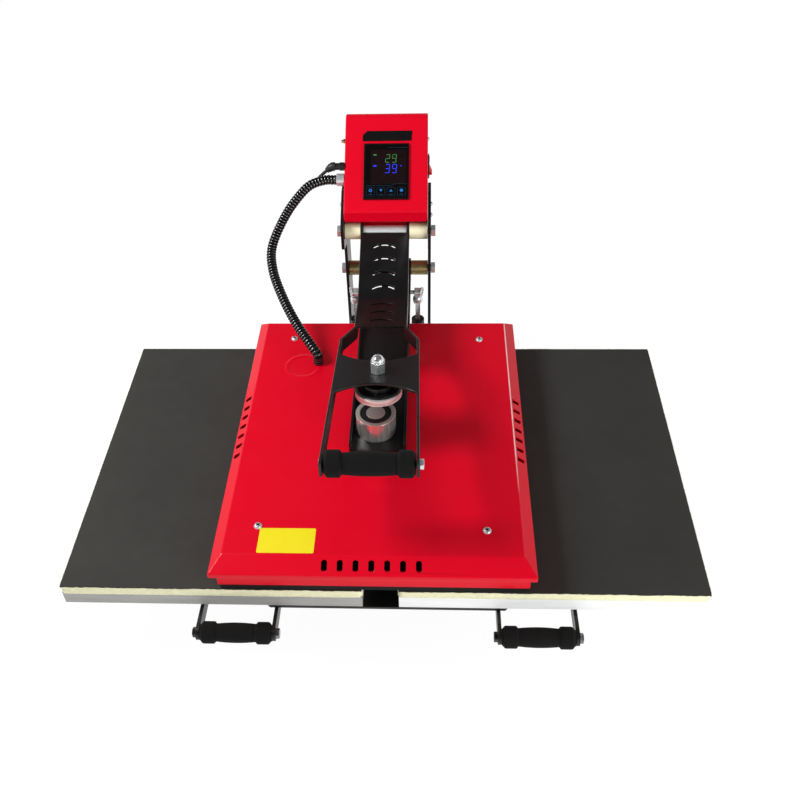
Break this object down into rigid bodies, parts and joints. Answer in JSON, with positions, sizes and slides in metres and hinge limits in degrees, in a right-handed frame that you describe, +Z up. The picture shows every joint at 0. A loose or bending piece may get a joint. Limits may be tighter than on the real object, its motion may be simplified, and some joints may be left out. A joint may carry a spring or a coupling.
{
  "type": "flat heat press",
  "caption": "Flat heat press with a hinged heated head, hand lever with magnetic latch, gas springs, twin sliding tables and a control box on two uprights.",
  "frame": {"origin": "centre of the footprint of the whole press, at the bottom of its feet", "axes": "+X to the operator's right, +Y from the operator to the uprights, +Z up"},
  "size_m": [0.85, 0.764, 0.4642],
  "materials": {
    "red_paint": "gloss powder coat",
    "black_paint": "satin powder coat",
    "aluminium": "milled and brushed",
    "platen_coat": "black non-stick coating",
    "steel": "turned and ground",
    "zinc": "bright zinc plated",
    "bronze": "turned",
    "nylon": "semi-gloss cast plastic",
    "silicone": "matt heat resistant rubber",
    "sponge": "open cell sponge",
    "rubber": "matt foam and soft rubber",
    "plastic": "fine satin",
    "glass": "dark smoked window",
    "ceramic": "matt fibre board",
    "red_plastic": "satin"
  },
  "bodies": {
    "base": {"base_rail_left": "black_paint", "base_rail_right": "black_paint", "base_cross_front": "black_paint", "base_cross_rear": "black_paint", "foot_front_left": "rubber", "foot_front_right": "rubber", "foot_rear_left": "rubber", "foot_rear_right": "rubber", "rail_runner_front": "steel", "rail_runner_rear": "steel", "upright_left": "black_paint", "upright_right": "black_paint", "top_shaft": "zinc", "top_bush_left": "nylon", "top_bush_right": "nylon", "lower_shaft": "zinc", "lower_bush_left": "bronze", "lower_bush_right": "bronze", "control_box_shell": "red_paint", "control_box_rear_cover": "black_paint", "power_inlet": "plastic", "heater_relay": "plastic", "display_module": "plastic", "display_glass": "glass", "rocker_bezel": "plastic", "hose_gland": "zinc", "lead_gland": "plastic", "corrugated_hose": "plastic", "magnet_lead": "rubber"},
    "table": {"table_rail_front": "steel", "table_rail_rear": "steel", "table_plate_left": "aluminium", "table_plate_right": "aluminium", "table_sponge_left": "sponge", "table_sponge_right": "sponge", "table_pad_left": "silicone", "table_pad_right": "silicone", "carriage_plate": "black_paint", "handle_bracket_left": "black_paint", "handle_bracket_right": "black_paint", "handle_grip_left": "rubber", "handle_grip_right": "rubber"},
    "head": {"heating_platen": "platen_coat", "insulation_board": "ceramic", "head_cover": "red_paint", "head_arm": "black_paint", "magnet_pot": "steel", "magnet_coil": "plastic"},
    "crank": {"crank_sleeve": "steel"},
    "lever": {"lever_frame": "black_paint", "lever_grip": "rubber", "armature_disc": "steel", "acorn_nut": "zinc"},
    "link": {"lift_link": "black_paint"},
    "cylinder_left": {"gas_cylinder_left": "black_paint"},
    "cylinder_right": {"gas_cylinder_right": "black_paint"},
    "rod_left": {"gas_rod_left": "zinc"},
    "rod_right": {"gas_rod_right": "zinc"},
    "rocker": {"rocker_switch": "red_plastic"}
  },
  "joints": [
    {"name": "table_slide", "type": "slide", "parent": "base", "child": "table", "axis": [1, 0, 0], "range_m": [-0.2335, 0.2155]},
    {"name": "head_hinge", "type": "hinge", "parent": "base", "child": "head", "pos_m": [-0.009, 0.27098, 0.2325], "axis": [-1, 0, 0], "range_deg": [0, 48], "deforming": ["corrugated_hose", "magnet_lead"]},
    {"name": "crank_turn", "type": "hinge", "parent": "base", "child": "crank", "pos_m": [-0.009, 0.23598, 0.327], "axis": [-1, 0, 0], "range_deg": [0, 60.2]},
    {"name": "lever_swing", "type": "hinge", "parent": "crank", "child": "lever", "pos_m": [-0.009, 0.23598, 0.327], "axis": [-1, 0, 0], "range_deg": [-6.65, 0]},
    {"name": "link_swing", "type": "hinge", "parent": "crank", "child": "link", "pos_m": [-0.009, 0.17598, 0.288], "axis": [-1, 0, 0], "range_deg": [-67, 0]},
    {"name": "rocker_press", "type": "hinge", "parent": "base", "child": "rocker", "pos_m": [0.0573, 0.31598, 0.398], "axis": [0, 1, 0], "range_deg": [0, 18]},
    {"name": "cylinder_left_swing", "type": "hinge", "parent": "base", "child": "cylinder_left", "pos_m": [-0.061, 0.21098, 0.084], "axis": [-1, 0, 0], "range_deg": [0, 3.2]},
    {"name": "rod_left_slide", "type": "slide", "parent": "cylinder_left", "child": "rod_left", "axis": [0, 0, 1], "range_m": [0, 0.049]},
    {"name": "cylinder_right_swing", "type": "hinge", "parent": "base", "child": "cylinder_right", "pos_m": [0.043, 0.21098, 0.084], "axis": [-1, 0, 0], "range_deg": [0, 3.2]},
    {"name": "rod_right_slide", "type": "slide", "parent": "cylinder_right", "child": "rod_right", "axis": [0, 0, 1], "range_m": [0, 0.049]}
  ],
  "couplings": [
    {"joint": "crank_turn", "follows": "head_hinge", "ratio": 1.25},
    {"joint": "link_swing", "follows": "head_hinge", "ratio": -1.39},
    {"joint": "cylinder_left_swing", "follows": "head_hinge", "ratio": 0.0644},
    {"joint": "rod_left_slide", "follows": "head_hinge", "m_per_rad": 0.058},
    {"joint": "cylinder_right_swing", "follows": "head_hinge", "ratio": 0.0644},
    {"joint": "rod_right_slide", "follows": "head_hinge", "m_per_rad": 0.058}
  ]
}
